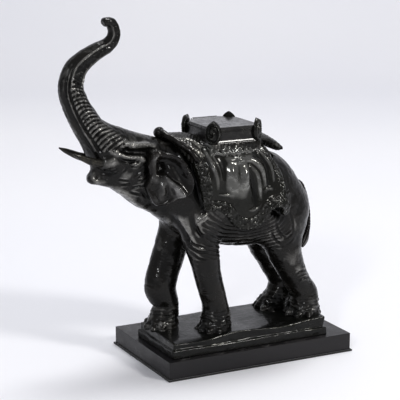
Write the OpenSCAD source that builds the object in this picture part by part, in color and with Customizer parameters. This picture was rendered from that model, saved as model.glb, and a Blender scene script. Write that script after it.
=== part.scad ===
// Still bank: a trumpeting elephant with a saddle cloth and a lidded howdah,
// standing on a cast ground and a plain plinth. It faces -X, its left side is -Y.
// The origin is the middle of the felt pad's underside, and +Z is up.

/* [Plinth] */
// Length of the plinth along the elephant
plinth_l = 180; // [176:1:200]
// Width of the plinth
plinth_w = 114; // [110:1:130]
// Thickness of the plinth without its pad
plinth_t = 15; // [14:1:20]
// Thickness of the felt pad under the plinth
pad_t = 1.5; // [1:0.5:3]
// How far the felt pad shows around the plinth
pad_lip = 1.5; // [0:0.5:3]

/* [Cast ground] */
// Length of the cast ground
ground_l = 152; // [150:1:160]
// Width of the cast ground
ground_w = 72; // [70:1:80]
// Height of its lower step
step_h = 7; // [5:1:8]
// Thickness of the cast ground at its front end
ground_front_t = 13.5; // [12:0.5:16]
// Thickness of the cast ground at its rear end
ground_rear_t = 16.5; // [15:0.5:18]

/* [Casting] */
// Offset of the elephant's mid-plane from the plinth's middle
seam_y = -13; // [-16:1:-10]
// Thickness of the iron wall around the coin chamber
wall = 4; // [3:0.5:5]
// Thickness of the saddle cloth
cloth_t = 2.6; // [2:0.2:3]
// Thickness of the saddle pad on the cloth
rug_t = 2.6; // [2:0.2:3]

/* [Howdah] */
// Outside length of the howdah box along the elephant
box_l = 46; // [42:1:50]
// Outside width of the howdah box
box_w = 54; // [50:1:56]
// Height of the howdah box without its lid
box_h = 11.5; // [11:0.5:14]
// Thickness of the walls and the floor of the howdah box
box_wall = 2.5; // [2:0.5:3]
// Thickness of the lid
lid_t = 2.4; // [2:0.2:3]
// Length of the coin slot in the rear wall
slot_l = 32; // [28:1:34]
// Height of the coin slot
slot_h = 4.6; // [4.4:0.2:5]

/* [Fasteners] */
// Radius of the screws that hold the two body halves together
body_screw_r = 2; // [1.5:0.5:2.5]
// Radius of the screws in the plinth and the cast ground
base_screw_r = 2; // [1.5:0.5:2.5]
// Radius of the screws in the howdah's floor
howdah_screw_r = 1.5; // [1:0.5:2]
// Radius of the hinge pin
pin_r = 1.1; // [1:0.1:1.3]

/* [Hidden] */

// Facets of the castings, of the slim pieces, of the holes in castings and of the rest
organic_fn = 22;
slim_fn = 16;
hole_fn = 20;
round_fn = 32;
fit_gap = 0.05;
slip = 0.02;
shank_play = 0.2;
head_play = 0.3;
// A length that reaches past every side of the bank
beyond = 400;

// Heights of the stack
plinth_top = pad_t + plinth_t;
ground_x = -8;
ground_y = seam_y - 1.5;
ground_step_in = 1.5;
ground_wall = 5;
ground_top_front = plinth_top + ground_front_t;
ground_top_rear = plinth_top + ground_rear_t;

// The screws up through the plinth, and those up into the four feet
plinth_screw_at = [[-70, -40], [55, -40], [-70, 10], [55, 10]];
plinth_screw_depth = 8;
head_r_ratio = 1.9;
head_h_ratio = 0.9;
head_sink_ratio = 1.2;
driver_slot_ratio = 0.5;
base_head_sink = base_screw_r * head_sink_ratio;
foot_screw_at = [[-31, -13], [-67, 15], [58, -13], [44, 15]];
foot_screw_len = 26;

// Each station of the elephant is [x, y, z, rx, ry, rz], y measured from the seam
torso_st = [
    [-56, 0, 158, 24, 31, 39],
    [-32, 0, 150, 28, 36, 44],
    [-6, 0, 146, 30, 38, 46],
    [14, 0, 142, 28, 37, 43],
    [25, 0, 139, 30, 33, 41],
    [35, 0, 129, 31, 30, 33]
];
neck_st = [
    [-56, 0, 158, 24, 29, 38],
    [-82, 0, 168, 20, 25, 34],
    [-100, 0, 180, 20, 22, 27]
];
skull_st = [
    [-104, 0, 187, 22, 22, 22],
    [-116, 0, 192, 17, 19, 20.5],
    [-127, 0, 198, 14, 15, 17]
];
jaw_st = [
    [-96, 0, 163, 16, 17, 19],
    [-113, 0, 170, 14, 15, 13],
    [-128, 0, 173, 9, 11, 8.5],
    [-136, 0, 173, 6, 7, 6.5]
];
trunk_st = [
    [-127, 0, 195, 15, 15, 16],
    [-134, 0, 204, 14, 14, 14],
    [-141, 0, 214, 12.5, 12.5, 12.5],
    [-148, 0, 226, 11.5, 11.5, 11.5],
    [-153, 0, 237, 11, 11, 11],
    [-156, 0, 247, 10.5, 10.5, 10.5],
    [-155, 0, 256.5, 10, 10, 10],
    [-152, 0, 264, 9.2, 9.2, 9.2],
    [-146, 0, 269.5, 8.2, 8.2, 8.2],
    [-139, 0, 274, 7.5, 7.5, 7.5],
    [-131.5, 0, 278, 6.8, 6.8, 6.8],
    [-124, 0, 281, 6, 6, 6],
    [-119, 0, 287, 5.3, 5.3, 5.3],
    [-118, 0, 294, 5, 5, 5],
    [-120, 0, 300, 4.8, 5, 4.8],
    [-126, 0, 300.5, 3.6, 5, 4.2]
];
front_left_leg_st = [
    [-52, -19, 142, 20, 14, 22],
    [-48, -18, 118, 17, 13, 16],
    [-42, -16, 92, 13, 12, 12],
    [-38, -15, 74, 11.5, 11, 11],
    [-31, -14, 54, 10.8, 11, 10],
    [-31, -14, 38, 14, 13.7, 12],
    [-31.5, -14.7, 29, 15.5, 14.4, 6]
];
front_right_leg_st = [
    [-56, 19, 142, 20, 14, 22],
    [-60, 19, 116, 15, 13, 16],
    [-65, 18, 92, 15, 13, 13],
    [-70.5, 16, 70, 14, 12.5, 13],
    [-70, 15, 60, 13, 12, 11],
    [-65, 15, 50, 11, 11.5, 10],
    [-67, 15, 38, 13.5, 13.5, 10],
    [-68, 15, 30, 15, 15, 6]
];
rear_left_leg_st = [
    [34, -15, 124, 24, 16, 26],
    [35, -17, 98, 18, 14, 16],
    [42, -16, 80, 13.5, 13, 12],
    [51, -15, 63, 12, 12, 11],
    [58, -14, 52, 13.5, 12.5, 10],
    [58.5, -14, 40, 15.5, 13.7, 11],
    [58.5, -14.7, 31, 16.5, 14.4, 6]
];
rear_right_leg_st = [
    [34, 15, 124, 24, 16, 26],
    [35, 17, 96, 17, 14, 16],
    [42, 16, 76, 12, 12.5, 12],
    [51, 15, 58, 11, 11.5, 11],
    [50, 15, 47, 12, 12, 9],
    [45, 15, 38, 13.5, 13.5, 8],
    [43, 15.5, 32, 15.5, 15, 6]
];
tusk_sheath_st = [
    [-119, -10, 186, 8, 7, 7],
    [-131, -12.5, 185.5, 5.5, 5, 5.5]
];
tail_st = [
    [64, 0, 148, 3.4],
    [67, -2, 138, 2.8],
    [69, -3, 126, 2.4],
    [69.5, -4, 114, 2.4],
    [68, -5, 104, 2.8],
    [64.5, -6, 95, 3.4],
    [62.5, -6.5, 90, 1.6]
];
tail_peg_from = [54, 0, 149];
tail_peg_r = 2.2;
tusk_st = [
    [-131, -12, 185.5, 3.4],
    [-142, -13.5, 184.5, 3],
    [-153, -15, 188, 2.2],
    [-161, -16, 195, 0.9]
];
tusk_peg_to = [-121, -9.5, 186];
tusk_peg_r = 2.2;

// The outline of an ear, going round from the root; y is to the outside
ear_st = [
    [-98, -22, 168], [-96, -23, 186], [-90, -27, 191], [-81, -31, 191.5],
    [-73, -34, 188], [-68, -36, 182], [-63, -37, 169], [-69, -36, 157],
    [-78, -33, 154], [-85, -30, 149.5], [-93, -26, 153]
];
ear_r = 1.4;
ear_pin_at = [[-94, 182], [-95, 172]];
ear_pin_r = 1.2;
ear_pin_y = [-12, -24.5];

// The coin chamber follows the torso, and the hollow of the head is open to it
chamber_st = [for (s = torso_st) [s[0], 0, s[2], s[3] - wall, s[4] - wall, s[5] - wall]];
head_hollow_st = [
    [-56, 0, 160, 20, 22, 30],
    [-84, 0, 172, 12, 16, 20],
    [-106, 0, 186, 13, 13, 12]
];

// Edge of the saddle cloth seen from the side: x, z
cloth_edge = [
    [-60, 204], [-60, 186], [-57, 170], [-53, 145], [-43, 142], [-32, 136],
    [-25, 127], [-15, 122.5], [-5, 123.5], [3, 132], [9, 140], [19, 139], [26, 133],
    [27, 145], [25, 158], [25, 168], [23, 179], [18, 190], [15, 204]
];
// The padding under the box fills the cloth out at its sides
padding_st = [
    [-43, 0, 170, 15, 35, 31],
    [-18, 0, 169, 15, 36.5, 32],
    [5, 0, 165, 15, 34, 31]
];
padding_drop = 2;
// Edge of the saddle pad seen from above: x, y
rug_edge = [
    [-74, 0], [-70, -12], [-62, -24], [-55, -31], [-46, -32], [-38, -29], [2, -29], [15, -25],
    [20, 0], [15, 25], [2, 29], [-38, 29], [-46, 32], [-55, 31], [-62, 24], [-70, 12]
];
rug_low_z = 170;
rug_seat_h = 10;
rug_tail_x = 31;
rug_tail_z = 188;
rug_tail_w = 34;
rug_tail_r = 2.6;
neck_roll_st = [
    [-57, -32, 186], [-62, -27, 193], [-69, -18, 199.5], [-75, -9, 203], [-77.5, 0, 204],
    [-75, 9, 203], [-69, 18, 199.5], [-62, 27, 193], [-57, 32, 186]
];
neck_roll_r = 3;

// The howdah, around its own middle
box_x = -18.5;
box_z = 196.5;
box_top = box_z + box_h;
box_cut = 5.5;
post_cut = 12;
lid_over = 0.8;
lid_gap = 0.6;
lid_seat_gap = 0.05;
lid_far_cut = 12;
throat_l = 28;
throat_w = 32;
throat_r = 5;
throat_h = 50;
slot_z = box_z + 3.2;
howdah_screw_at = [[-10, -19], [10, -19], [-10, 19], [10, 19]];
howdah_screw_len = 18;
howdah_boss_r = 4.5;
howdah_boss_l = 22;
hinge_y = box_w / 2 + 4.3;
hinge_z = box_top;
knuckle_r = 2.3;
knuckle_l = 7.8;
knuckle_gap = 0.25;
knuckle_clear = 0.35;
leaf_t = 1.8;
pin_head_r = 1.8;
pin_head_t = 1.5;

// The oval ornaments stand across the box's cut corners
ornament_w = 14;
ornament_h = 19;
ornament_t = 4;
ornament_z = box_z + 9.7;
ornament_peg_r = 1.5;
ornament_peg_l = 5;
ornament_knob_r = 1.2;

// The screws through the body lie along Y: x, z and the y where the head sits
body_screw_at = [[-110, 177], [-56, 132], [44, 128]];
body_screw_head_y = [12, 23, 23];
body_screw_tip_y = -12;
body_screw_pocket = 25;
boss_r = 6;
boss_l = 48;

module blob(s) {
    translate([s[0], s[1], s[2]]) scale([s[3], s[4], s[5]]) sphere(r = 1, $fn = organic_fn);
}

module chain(stations) {
    for (i = [0 : len(stations) - 2]) {
        hull() {
            blob(stations[i]);
            blob(stations[i + 1]);
        }
    }
}

// A chain of balls for the slim pieces: each station is [x, y, z, r]
module ball_chain(stations) {
    for (i = [0 : len(stations) - 2]) {
        hull() {
            translate([stations[i][0], stations[i][1], stations[i][2]])
                sphere(r = stations[i][3], $fn = slim_fn);
            translate([stations[i + 1][0], stations[i + 1][1], stations[i + 1][2]])
                sphere(r = stations[i + 1][3], $fn = slim_fn);
        }
    }
}

function grown(stations, by) = [
    for (s = stations) [s[0], s[1], s[2], s[3] + by, s[4] + by, s[5] + by]
];

// Moves the elephant's own frame, with its seam at y = 0, onto the plinth
module on_seam() {
    translate([0, seam_y, 0]) children();
}

module elephant_skin() {
    chain(torso_st);
    chain(neck_st);
    chain(skull_st);
    chain(jaw_st);
    chain(trunk_st);
    chain(tusk_sheath_st);
    mirror([0, 1, 0]) chain(tusk_sheath_st);
    chain(front_left_leg_st);
    chain(front_right_leg_st);
    chain(rear_left_leg_st);
    chain(rear_right_leg_st);
}

// The upper step, whose top climbs from the front end to the rear end
module ground_wedge() {
    half_l = ground_l / 2 - ground_step_in;
    half_w = ground_w / 2 - ground_step_in;
    translate([ground_x, ground_y + half_w, 0])
        rotate([90, 0, 0])
            linear_extrude(height = 2 * half_w)
                polygon([
                    [-half_l, plinth_top], [half_l, plinth_top],
                    [half_l, ground_top_rear], [-half_l, ground_top_front]
                ]);
}

module ground_solid() {
    translate([ground_x - ground_l / 2, ground_y - ground_w / 2, plinth_top])
        cube([ground_l, ground_w, step_h]);
    ground_wedge();
}

module coin_space() {
    chain(chamber_st);
    chain(head_hollow_st);
}

// The way down for the coins, from the howdah's floor into the chamber
module throat() {
    translate([box_x, 0, box_z + box_wall + 1 - throat_h])
        linear_extrude(height = throat_h)
            offset(r = throat_r, $fn = hole_fn)
                square([throat_l - 2 * throat_r, throat_w - 2 * throat_r], center = true);
}

// A screw along +Z from its head: the head lies below z = 0 and the shank above it
module screw(r, length) {
    head_r = r * head_r_ratio;
    head_h = r * head_h_ratio;
    slot_w = r * driver_slot_ratio;
    difference() {
        union() {
            translate([0, 0, -head_h]) cylinder(r = head_r, h = head_h, $fn = round_fn);
            cylinder(r = r, h = length, $fn = round_fn);
        }
        translate([-head_r - 1, -slot_w / 2, -head_h - 1])
            cube([2 * head_r + 2, slot_w, 1 + head_h / 2]);
    }
}

// The room that a screw takes up, with its head's pocket open to the outside
module screw_room(r, length, pocket) {
    translate([0, 0, -pocket])
        cylinder(r = r * head_r_ratio + head_play, h = pocket, $fn = hole_fn);
    translate([0, 0, -1])
        cylinder(r = r + shank_play, h = length + 1 + head_play, $fn = hole_fn);
}

module body_screw_bosses() {
    for (s = body_screw_at) {
        translate([s[0], 0, s[1]])
            rotate([90, 0, 0])
                cylinder(r = boss_r, h = boss_l, center = true, $fn = hole_fn);
    }
    for (p = howdah_screw_at) {
        translate([box_x + p[0], p[1], box_z - howdah_boss_l])
            cylinder(r = howdah_boss_r, h = howdah_boss_l, $fn = hole_fn);
    }
}

// Everything of both halves, before the seam parts them
module elephant_casting() {
    difference() {
        elephant_skin();
        difference() {
            coin_space();
            body_screw_bosses();
        }
        translate([0, -seam_y, 0]) ground_solid();
        throat();
        for (i = [0 : len(body_screw_at) - 1]) {
            translate([body_screw_at[i][0], body_screw_head_y[i], body_screw_at[i][1]])
                rotate([90, 0, 0])
                    screw_room(body_screw_r, body_screw_head_y[i] - body_screw_tip_y,
                               body_screw_pocket);
        }
        howdah_screw_holes();
        for (p = foot_screw_at) {
            translate([p[0], p[1], plinth_top])
                cylinder(r = base_screw_r + shank_play, h = foot_screw_len + 1, $fn = hole_fn);
        }
        tusk_solid(slip);
        mirror([0, 1, 0]) tusk_solid(slip);
        tail_solid(slip);
        ear_pin_room();
        mirror([0, 1, 0]) ear_pin_room();
    }
}

module half_space(side) {
    translate([-beyond, side < 0 ? -beyond : 0, 0]) cube([2 * beyond, beyond, beyond]);
}

module peg(from, to, r) {
    hull() {
        translate(from) sphere(r = r, $fn = slim_fn);
        translate(to) sphere(r = r, $fn = slim_fn);
    }
}

module tusk_solid(by) {
    ball_chain([for (s = tusk_st) [s[0], s[1], s[2], s[3] + by]]);
    peg([tusk_st[0][0], tusk_st[0][1], tusk_st[0][2]], tusk_peg_to, tusk_peg_r + by);
}

module tail_solid(by) {
    ball_chain([for (s = tail_st) [s[0], s[1], s[2], s[3] + by]]);
    peg([tail_st[0][0], tail_st[0][1], tail_st[0][2]], tail_peg_from, tail_peg_r + by);
}

module ear_pin(from_y, to_y, r) {
    for (p = ear_pin_at) {
        translate([p[0], from_y, p[1]])
            rotate([90, 0, 0])
                cylinder(r = r, h = from_y - to_y, $fn = hole_fn);
    }
}

module ear_pin_room() {
    ear_pin(ear_pin_y[0] + head_play, ear_pin_y[1] - head_play, ear_pin_r + fit_gap);
}

module ear_solid() {
    difference() {
        hull() {
            for (p = ear_st) {
                translate(p) sphere(r = ear_r, $fn = slim_fn);
            }
        }
        chain(neck_st);
        chain(skull_st);
        chain(jaw_st);
        chain(torso_st);
        chain(front_left_leg_st);
        ear_pin_room();
    }
}

module box_outline(grow, cut) {
    l = box_l / 2 + grow;
    w = box_w / 2 + grow;
    polygon([
        [-l, -w + cut], [-l + cut, -w], [l - cut, -w], [l, -w + cut],
        [l, w - cut], [l - cut, w], [-l + cut, w], [-l, w - cut]
    ]);
}

module hinge_tube(from_x, to_x, r) {
    translate([from_x, hinge_y, hinge_z])
        rotate([0, 90, 0])
            cylinder(r = r, h = to_x - from_x, $fn = round_fn);
}

// Where knuckle i of three starts and ends along the hinge
function knuckle_from(i) = (i - 1.5) * knuckle_l + knuckle_gap / 2;
function knuckle_to(i) = (i - 0.5) * knuckle_l - knuckle_gap / 2;

// --- Plinth ---

module base_pad() {
    color([0.08, 0.08, 0.08])
        translate([-plinth_l / 2 - pad_lip, -plinth_w / 2 - pad_lip, 0])
            cube([plinth_l + 2 * pad_lip, plinth_w + 2 * pad_lip, pad_t]);
}

module plinth() {
    color([0.1, 0.1, 0.11])
        difference() {
            translate([-plinth_l / 2, -plinth_w / 2, pad_t])
                cube([plinth_l, plinth_w, plinth_t]);
            for (p = plinth_screw_at) {
                translate([p[0], p[1], pad_t - 1])
                    cylinder(r = base_screw_r * head_r_ratio + head_play, h = 1 + base_head_sink,
                             $fn = round_fn);
                translate([p[0], p[1], pad_t])
                    cylinder(r = base_screw_r + shank_play, h = plinth_t + 1, $fn = round_fn);
            }
        }
}

module plinth_screws() {
    color([0.55, 0.55, 0.56])
        for (p = plinth_screw_at) {
            translate([p[0], p[1], pad_t + base_head_sink])
                screw(base_screw_r, plinth_t - base_head_sink + plinth_screw_depth);
        }
}

// The hollow under the cast ground, with a boss left around each screw
module ground_hollow() {
    half_l = ground_l / 2 - ground_wall;
    half_w = ground_w / 2 - ground_wall;
    difference() {
        translate([ground_x - half_l, ground_y - half_w, plinth_top - 1])
            cube([2 * half_l, 2 * half_w, ground_front_t - ground_wall + 1]);
        for (p = plinth_screw_at) {
            translate([p[0], p[1], plinth_top - 2])
                cylinder(r = boss_r, h = 2 * ground_front_t, $fn = round_fn);
        }
        for (p = foot_screw_at) {
            translate([p[0], p[1] + seam_y, plinth_top - 2])
                cylinder(r = boss_r, h = 2 * ground_front_t, $fn = round_fn);
        }
    }
}

module cast_ground() {
    color([0.13, 0.13, 0.11])
        difference() {
            ground_solid();
            ground_hollow();
            for (p = plinth_screw_at) {
                translate([p[0], p[1], plinth_top - 1])
                    cylinder(r = base_screw_r + fit_gap, h = plinth_screw_depth + 1 + head_play,
                             $fn = round_fn);
            }
            for (p = foot_screw_at) {
                translate([p[0], p[1] + seam_y, plinth_top - 1])
                    cylinder(r = base_screw_r * head_r_ratio + head_play, h = 1 + base_head_sink,
                             $fn = round_fn);
                translate([p[0], p[1] + seam_y, plinth_top])
                    cylinder(r = base_screw_r + shank_play, h = foot_screw_len, $fn = round_fn);
            }
        }
}

module foot_screws() {
    color([0.55, 0.55, 0.56])
        for (p = foot_screw_at) {
            translate([p[0], p[1] + seam_y, plinth_top + base_head_sink])
                screw(base_screw_r, foot_screw_len - base_head_sink);
        }
}

// --- Elephant ---

module left_half() {
    color([0.14, 0.14, 0.12])
        on_seam()
            intersection() {
                elephant_casting();
                half_space(-1);
            }
}

module right_half() {
    color([0.14, 0.14, 0.12])
        on_seam()
            intersection() {
                elephant_casting();
                half_space(1);
            }
}

module body_screws() {
    color([0.45, 0.45, 0.44])
        on_seam()
            for (i = [0 : len(body_screw_at) - 1]) {
                translate([body_screw_at[i][0], body_screw_head_y[i], body_screw_at[i][1]])
                    rotate([90, 0, 0])
                        screw(body_screw_r, body_screw_head_y[i] - body_screw_tip_y);
            }
}

module left_ear() {
    color([0.15, 0.15, 0.13]) on_seam() ear_solid();
}

module right_ear() {
    color([0.15, 0.15, 0.13]) on_seam() mirror([0, 1, 0]) ear_solid();
}

module ear_pins() {
    color([0.45, 0.45, 0.44])
        on_seam() {
            ear_pin(ear_pin_y[0], ear_pin_y[1], ear_pin_r);
            mirror([0, 1, 0]) ear_pin(ear_pin_y[0], ear_pin_y[1], ear_pin_r);
        }
}

module left_tusk() {
    color([0.2, 0.2, 0.18]) on_seam() tusk_solid(0);
}

module right_tusk() {
    color([0.2, 0.2, 0.18]) on_seam() mirror([0, 1, 0]) tusk_solid(0);
}

module tail() {
    color([0.14, 0.14, 0.12]) on_seam() tail_solid(0);
}

// --- Saddlery ---

module saddle_cloth() {
    color([0.17, 0.17, 0.14])
        on_seam()
            difference() {
                intersection() {
                    union() {
                        chain(grown(torso_st, cloth_t));
                        padding();
                    }
                    rotate([90, 0, 0])
                        linear_extrude(height = beyond, center = true) polygon(cloth_edge);
                }
                elephant_skin();
                throat();
                howdah_screw_holes();
                howdah_block(0);
            }
}

module padding() {
    difference() {
        chain(padding_st);
        howdah_block(padding_drop);
    }
}

module howdah_screw_holes() {
    for (p = howdah_screw_at) {
        translate([box_x + p[0], p[1], box_z - howdah_boss_l + 4])
            cylinder(r = howdah_screw_r + shank_play, h = howdah_boss_l, $fn = hole_fn);
    }
}

module howdah_block(drop) {
    translate([box_x, 0, box_z - drop])
        linear_extrude(height = beyond) box_outline(2 * ornament_t, box_cut);
}

module saddle_pad() {
    color([0.18, 0.17, 0.13])
        on_seam()
            difference() {
                union() {
                    intersection() {
                        union() {
                            chain(grown(torso_st, cloth_t + rug_t));
                            chain(grown(neck_st, cloth_t + rug_t));
                            chain(grown(padding_st, rug_t));
                        }
                        translate([0, 0, rug_low_z])
                            linear_extrude(height = beyond) polygon(rug_edge);
                    }
                    translate([box_x, 0, box_z - rug_seat_h])
                        linear_extrude(height = rug_seat_h) box_outline(1, box_cut);
                    rug_tail();
                }
                chain(grown(torso_st, cloth_t));
                padding();
                elephant_skin();
                neck_roll_solid();
                throat();
                howdah_screw_holes();
                howdah_block(0);
            }
}

// The stiff rear end of the pad, which stands a little off the rump
module rug_tail() {
    hull() {
        translate([box_x + box_l / 2 - 4, -box_w / 2 + 6, box_z - 8])
            cube([2, box_w - 12, 7]);
        for (sy = [-1, 1]) {
            translate([rug_tail_x, sy * rug_tail_w / 2, rug_tail_z])
                sphere(r = rug_tail_r, $fn = organic_fn);
        }
    }
}

module neck_roll_solid() {
    ball_chain([for (s = neck_roll_st) [s[0], s[1], s[2], neck_roll_r]]);
}

module neck_roll() {
    color([0.12, 0.12, 0.1])
        on_seam()
            difference() {
                neck_roll_solid();
                chain(torso_st);
                chain(neck_st);
                chain(grown(torso_st, cloth_t + rug_t));
            }
}

// --- Howdah ---

module howdah_box() {
    inner_l = box_l - 2 * box_wall;
    inner_w = box_w - 2 * box_wall;
    color([0.12, 0.12, 0.13])
        on_seam()
            difference() {
                union() {
                    translate([box_x, 0, box_z])
                        linear_extrude(height = box_h) box_outline(0, box_cut);
                    for (i = [0, 2]) {
                        translate([box_x, 0, 0]) hinge_tube(knuckle_from(i), knuckle_to(i), knuckle_r);
                        translate([box_x + knuckle_from(i), box_w / 2 - 1, hinge_z - knuckle_r])
                            cube([knuckle_l - knuckle_gap, hinge_y - box_w / 2 + 1, leaf_t]);
                    }
                }
                difference() {
                    translate([box_x - inner_l / 2, -inner_w / 2, box_z + box_wall])
                        cube([inner_l, inner_w, box_h]);
                    for (sx = [-1, 1]) {
                        for (sy = [-1, 1]) {
                            corner_post(sx, sy);
                        }
                    }
                }
                throat();
                translate([box_x + box_l / 2 - box_wall - 1, -slot_l / 2, slot_z])
                    cube([box_wall + 2, slot_l, slot_h]);
                for (p = howdah_screw_at) {
                    translate([box_x + p[0], p[1], box_z - 1])
                        cylinder(r = howdah_screw_r + shank_play, h = box_wall + 2, $fn = round_fn);
                }
                translate([box_x, 0, 0]) hinge_tube(-box_l / 2, box_l / 2, pin_r + slip);
                for (sx = [-1, 1]) {
                    for (sy = [-1, 1]) {
                        at_corner(sx, sy)
                            translate([0, 0, -ornament_peg_l - head_play])
                                cylinder(r = ornament_peg_r + fit_gap, h = 2 * ornament_peg_l,
                                         $fn = round_fn);
                    }
                }
            }
}

module corner_post(sx, sy) {
    l = box_l / 2;
    w = box_w / 2;
    translate([box_x, 0, box_z])
        linear_extrude(height = box_h)
            polygon([
                [sx * l, sy * w], [sx * (l - post_cut), sy * w], [sx * l, sy * (w - post_cut)]
            ]);
}

// The place of an ornament: z points out of the cut corner and y points up
module at_corner(sx, sy) {
    mid_x = box_l / 2 - box_cut / 2;
    mid_y = box_w / 2 - box_cut / 2;
    translate([box_x + sx * mid_x, sy * mid_y, ornament_z])
        rotate([0, 0, atan2(sy, sx)])
            rotate([90, 0, 90])
                children();
}

module ornament(sx, sy) {
    color([0.22, 0.22, 0.18])
        on_seam()
            at_corner(sx, sy) {
                translate([0, 0, slip]) {
                    hull() {
                        oval(1, ornament_t * 0.35);
                        oval(0.8, ornament_t * 0.75);
                        oval(0.45, ornament_t);
                    }
                    hull() {
                        oval(0.5, ornament_t * 0.35);
                        translate([0, ornament_h * 0.47, 0])
                            cylinder(r = ornament_knob_r, h = ornament_knob_r, $fn = slim_fn);
                    }
                }
                translate([0, 0, -ornament_peg_l])
                    cylinder(r = ornament_peg_r, h = ornament_peg_l + 1, $fn = round_fn);
            }
}

module oval(size, height) {
    linear_extrude(height = height)
        scale([ornament_w / 2 * size, ornament_h / 2 * size]) circle(r = 1, $fn = hole_fn);
}

module front_left_ornament() { ornament(-1, -1); }
module front_right_ornament() { ornament(-1, 1); }
module rear_left_ornament() { ornament(1, -1); }
module rear_right_ornament() { ornament(1, 1); }

module howdah_screws() {
    color([0.45, 0.45, 0.44])
        on_seam()
            for (p = howdah_screw_at) {
                translate([box_x + p[0], p[1], box_z + box_wall])
                    rotate([180, 0, 0])
                        screw(howdah_screw_r, howdah_screw_len);
            }
}

module lid_outline() {
    l = box_l / 2 + lid_over;
    w = box_w / 2 + lid_over;
    near_cut = box_cut + 2 * lid_over + lid_gap;
    polygon([
        [-l, -w + near_cut], [-l + near_cut, -w], [l - near_cut, -w], [l, -w + near_cut],
        [l, w - lid_far_cut], [l - lid_far_cut, w], [-l + lid_far_cut, w], [-l, w - lid_far_cut]
    ]);
}

module howdah_lid() {
    color([0.14, 0.14, 0.15])
        on_seam()
            difference() {
                union() {
                    translate([box_x, 0, box_top + lid_seat_gap])
                        linear_extrude(height = lid_t) lid_outline();
                    translate([box_x, 0, 0]) hinge_tube(knuckle_from(1), knuckle_to(1), knuckle_r);
                    translate([box_x + knuckle_from(1), box_w / 2 - 1, box_top + lid_seat_gap])
                        cube([knuckle_l - knuckle_gap, hinge_y - box_w / 2 + 1, leaf_t]);
                }
                for (i = [0, 2]) {
                    translate([box_x, 0, 0])
                        hinge_tube(knuckle_from(i) - knuckle_gap, knuckle_to(i) + knuckle_gap,
                                   knuckle_r + knuckle_clear);
                }
                translate([box_x, 0, 0]) hinge_tube(-box_l / 2, box_l / 2, pin_r + fit_gap);
            }
}

module hinge_pin() {
    color([0.55, 0.55, 0.56])
        on_seam()
            translate([box_x, 0, 0]) {
                hinge_tube(knuckle_from(0) - 1, knuckle_to(2) + 1, pin_r);
                hinge_tube(knuckle_from(0) - slip - pin_head_t, knuckle_from(0) - slip, pin_head_r);
                hinge_tube(knuckle_to(2) + slip, knuckle_to(2) + slip + pin_head_t, pin_head_r);
            }
}

base_pad();
plinth();
plinth_screws();
cast_ground();
foot_screws();
left_half();
right_half();
body_screws();
left_ear();
right_ear();
ear_pins();
left_tusk();
right_tusk();
tail();
saddle_cloth();
saddle_pad();
neck_roll();
howdah_box();
howdah_screws();
howdah_lid();
hinge_pin();
front_left_ornament();
front_right_ornament();
rear_left_ornament();
rear_right_ornament();
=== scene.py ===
# A cast iron still bank: a trumpeting elephant with a saddle cloth and a lidded
# howdah, on a cast ground and a plain plinth. The castings are modelled like clay,
# as distance fields in millimetres, with y measured from the seam between the
# halves. The elephant faces -X and its left side is -Y.
import math
import bpy
import bmesh
import numpy as np
import openvdb
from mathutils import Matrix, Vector


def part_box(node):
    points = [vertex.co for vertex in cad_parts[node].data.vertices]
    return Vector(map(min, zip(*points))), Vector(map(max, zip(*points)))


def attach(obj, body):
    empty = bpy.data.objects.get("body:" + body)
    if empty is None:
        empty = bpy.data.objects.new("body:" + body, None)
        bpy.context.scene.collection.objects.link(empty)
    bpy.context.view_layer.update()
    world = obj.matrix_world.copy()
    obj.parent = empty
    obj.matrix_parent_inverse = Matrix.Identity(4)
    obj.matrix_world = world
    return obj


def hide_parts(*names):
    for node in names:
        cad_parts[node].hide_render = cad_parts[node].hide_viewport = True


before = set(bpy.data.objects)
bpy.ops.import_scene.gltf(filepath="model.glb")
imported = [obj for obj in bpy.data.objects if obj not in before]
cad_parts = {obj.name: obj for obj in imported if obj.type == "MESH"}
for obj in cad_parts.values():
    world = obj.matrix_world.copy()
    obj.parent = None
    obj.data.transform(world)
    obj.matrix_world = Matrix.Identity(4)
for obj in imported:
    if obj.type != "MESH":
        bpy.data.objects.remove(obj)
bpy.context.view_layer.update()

scene = bpy.context.scene
MM = 0.001
seam_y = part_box("left_half")[1].y / MM
ground_low, ground_high = [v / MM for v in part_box("cast_ground")]
howdah_low, howdah_high = [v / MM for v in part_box("howdah_box")]
CLAY_STEP = 0.8
FAR = 30.0
# How far round a limb its distances are worked out, for soft blends
REACH = 12


# --- Clay: distance fields, negative inside ---

def smooth_min(a, b, soft):
    h = np.maximum(soft - np.abs(a - b), 0) / soft
    return np.minimum(a, b) - h * h * soft / 4


def smooth_max(a, b, soft):
    return -smooth_min(-a, -b, soft)


def curve_through(stations, count):
    """Smooth positions and radii through given stations of any width."""
    s = np.array(stations, float)
    at = np.linspace(0, len(s) - 1, count)
    i = np.clip(at.astype(int), 0, len(s) - 2)
    t = (at - i)[:, None]
    before, after = s[np.maximum(i - 1, 0)], s[np.minimum(i + 2, len(s) - 1)]
    a, b = s[i], s[i + 1]
    square = (2 * before - 5 * a + 4 * b - after) * t ** 2
    cube = (3 * a - before - 3 * b + after) * t ** 3
    return 0.5 * (2 * a + (b - before) * t + square + cube)


def swept(x, y, z, a, b):
    """About the distance to an ellipsoid that grows from station a to station b."""
    run = [b[i] - a[i] for i in range(3)]
    length = sum(r * r for r in run)
    t = ((x - a[0]) * run[0] + (y - a[1]) * run[1] + (z - a[2]) * run[2]) / length
    t = np.clip(t, 0, 1)
    q = g = 0
    for i, p in enumerate((x, y, z)):
        radius = a[i + 3] + t * (b[i + 3] - a[i + 3])
        off = (p - a[i] - t * run[i]) / radius
        q = q + off * off
        g = g + (off / radius) ** 2
    q = np.sqrt(q)
    return q * (q - 1) / (np.sqrt(g) + 1e-6)


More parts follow.
